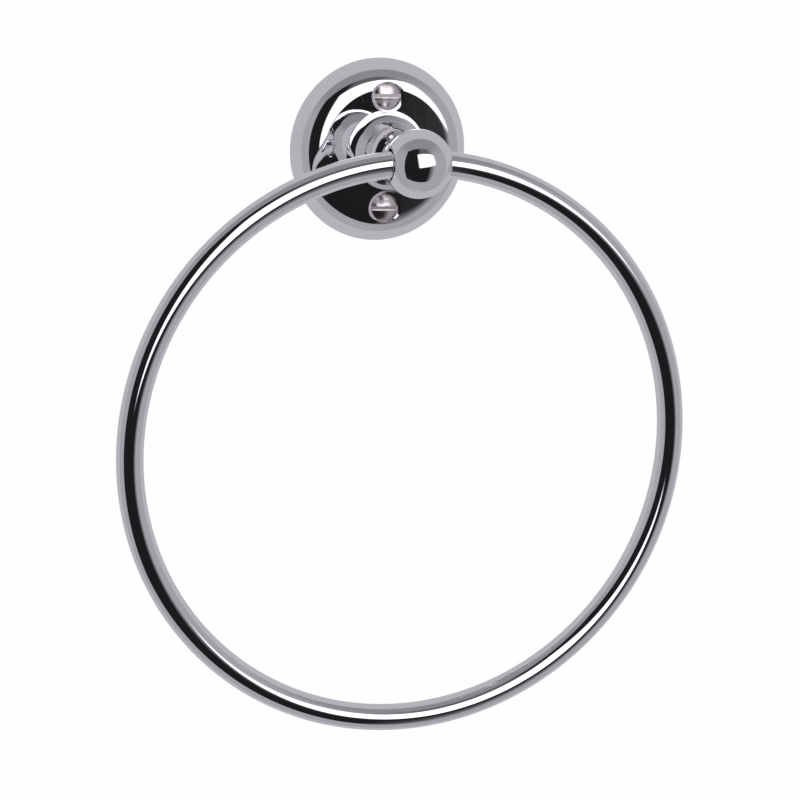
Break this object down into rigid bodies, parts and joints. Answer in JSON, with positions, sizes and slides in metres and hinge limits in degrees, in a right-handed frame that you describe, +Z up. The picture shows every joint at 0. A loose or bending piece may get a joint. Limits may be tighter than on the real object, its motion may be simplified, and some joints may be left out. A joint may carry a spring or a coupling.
{
  "type": "towel ring",
  "caption": "Wall-mounted towel ring: a plain round bar ring hanging through a ball on a short neck, carried by a round bell-shaped rose.",
  "frame": {"origin": "centre of the rose's back, on the wall plane, midway between the two wall screws", "axes": "+Y into the wall, -Y towards the room, +Z up, X along the bore that the ring hangs in"},
  "size_m": [0.179, 0.0803, 0.203],
  "materials": {
    "chromed_brass": "mirror polished chrome plate",
    "screw_metal": "turned bright metal",
    "plain_steel": "zinc plated"
  },
  "bodies": {
    "wall_body": {"back_plate": "chromed_brass", "post": "chromed_brass", "wall_screws": "screw_metal", "post_screw": "plain_steel", "post_washer": "plain_steel"},
    "ring_body": {"ring": "chromed_brass"}
  },
  "joints": [
    {"name": "ring_swing", "type": "hinge", "parent": "wall_body", "child": "ring_body", "pos_m": [0, -0.04, 0], "axis": [-1, 0, 0], "range_deg": [-12, 192]}
  ]
}
